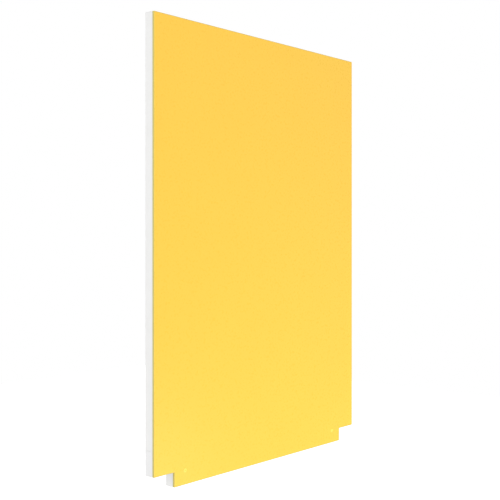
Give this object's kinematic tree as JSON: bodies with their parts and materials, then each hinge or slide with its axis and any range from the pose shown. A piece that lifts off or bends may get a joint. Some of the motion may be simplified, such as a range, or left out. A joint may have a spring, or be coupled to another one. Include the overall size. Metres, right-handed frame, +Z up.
{
  "type": "modular wall board",
  "caption": "Rigid rectangular wall board with a glossy yellow steel face, a pale edge frame, notched lower corners and keyhole hangers on its back.",
  "frame": {"origin": "bottom centre of the board's bounding box, on the board's bottom edge and midway between the domes of the face screws and the backs of the wall pads", "axes": "+Z up the board's height, +X across its width to the right as seen from the front, +Y from the yellow face towards the wall"},
  "size_m": [0.55, 0.0222, 0.75],
  "materials": {
    "yellow_lacquer": "gloss",
    "white_coat": "satin",
    "white_plastic": "satin",
    "grey_plastic": "matte",
    "honeycomb": "matte",
    "galvanised": "satin",
    "zinc": "satin",
    "rivet_metal": "satin",
    "rubber": "matte"
  },
  "bodies": {
    "root": {"back_sheet": "galvanised", "bottom_rail": "white_coat", "core_bottom": "honeycomb", "core_main": "honeycomb", "core_top_left": "honeycomb", "core_top_middle": "honeycomb", "core_top_right": "honeycomb", "corner_key_left": "grey_plastic", "corner_key_right": "grey_plastic", "face_screw_left": "yellow_lacquer", "face_screw_right": "yellow_lacquer", "face_sheet": "yellow_lacquer", "hanger_block_left": "grey_plastic", "hanger_block_right": "grey_plastic", "hanger_plate_left": "zinc", "hanger_plate_right": "zinc", "hanger_screw_left_1": "zinc", "hanger_screw_left_2": "zinc", "hanger_screw_right_1": "zinc", "hanger_screw_right_2": "zinc", "left_rail": "white_coat", "notch_corner_left": "white_plastic", "notch_corner_right": "white_plastic", "pin_screw_bottom_1": "zinc", "pin_screw_bottom_2": "zinc", "pin_screw_left_1": "zinc", "pin_screw_left_2": "zinc", "pin_screw_right_1": "zinc", "pin_screw_right_2": "zinc", "pin_screw_top_1": "zinc", "pin_screw_top_2": "zinc", "right_rail": "white_coat", "rivet_bottom_1": "rivet_metal", "rivet_bottom_2": "rivet_metal", "rivet_bottom_3": "rivet_metal", "rivet_left_1": "rivet_metal", "rivet_left_2": "rivet_metal", "rivet_left_3": "rivet_metal", "rivet_left_4": "rivet_metal", "rivet_right_1": "rivet_metal", "rivet_right_2": "rivet_metal", "rivet_right_3": "rivet_metal", "rivet_right_4": "rivet_metal", "rivet_top_1": "rivet_metal", "rivet_top_2": "rivet_metal", "rivet_top_3": "rivet_metal", "top_rail": "white_coat", "wall_pad_bottom_left": "rubber", "wall_pad_bottom_right": "rubber", "wall_pad_top_left": "rubber", "wall_pad_top_right": "rubber"}
  },
  "joints": []
}
